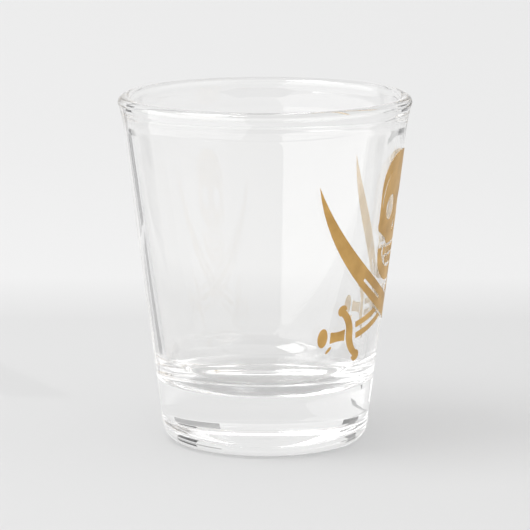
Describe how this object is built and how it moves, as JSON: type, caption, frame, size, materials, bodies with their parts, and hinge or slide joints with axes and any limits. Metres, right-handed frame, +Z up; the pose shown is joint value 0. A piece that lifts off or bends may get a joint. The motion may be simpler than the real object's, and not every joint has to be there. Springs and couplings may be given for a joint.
{
  "type": "shot glass",
  "caption": "Thick-bottomed conical shot glass of clear glass with a rounded rim and a one-colour printed skull over crossed sabres on one side.",
  "frame": {"origin": "centre of the foot, on the plane the glass stands on", "axes": "+Z up along the glass's axis, -Y towards the viewer, the print's centre line 8 degrees from +X towards -Y"},
  "size_m": [0.048, 0.048, 0.057],
  "materials": {
    "glass": "clear, fire-polished",
    "ink": "flat ochre-gold print, satin"
  },
  "bodies": {
    "root": {"glass_body": "glass", "skull_cranium": "ink", "skull_upper_teeth": "ink", "skull_lower_teeth": "ink", "skull_jaw": "ink", "over_sabre_blade": "ink", "over_sabre_root": "ink", "over_sabre_guard": "ink", "over_sabre_grip": "ink", "over_sabre_pommel": "ink", "over_sabre_drop": "ink", "under_sabre_blade": "ink", "under_sabre_root": "ink", "under_sabre_guard": "ink", "under_sabre_grip": "ink", "under_sabre_pommel": "ink", "under_sabre_drop": "ink"}
  },
  "joints": []
}
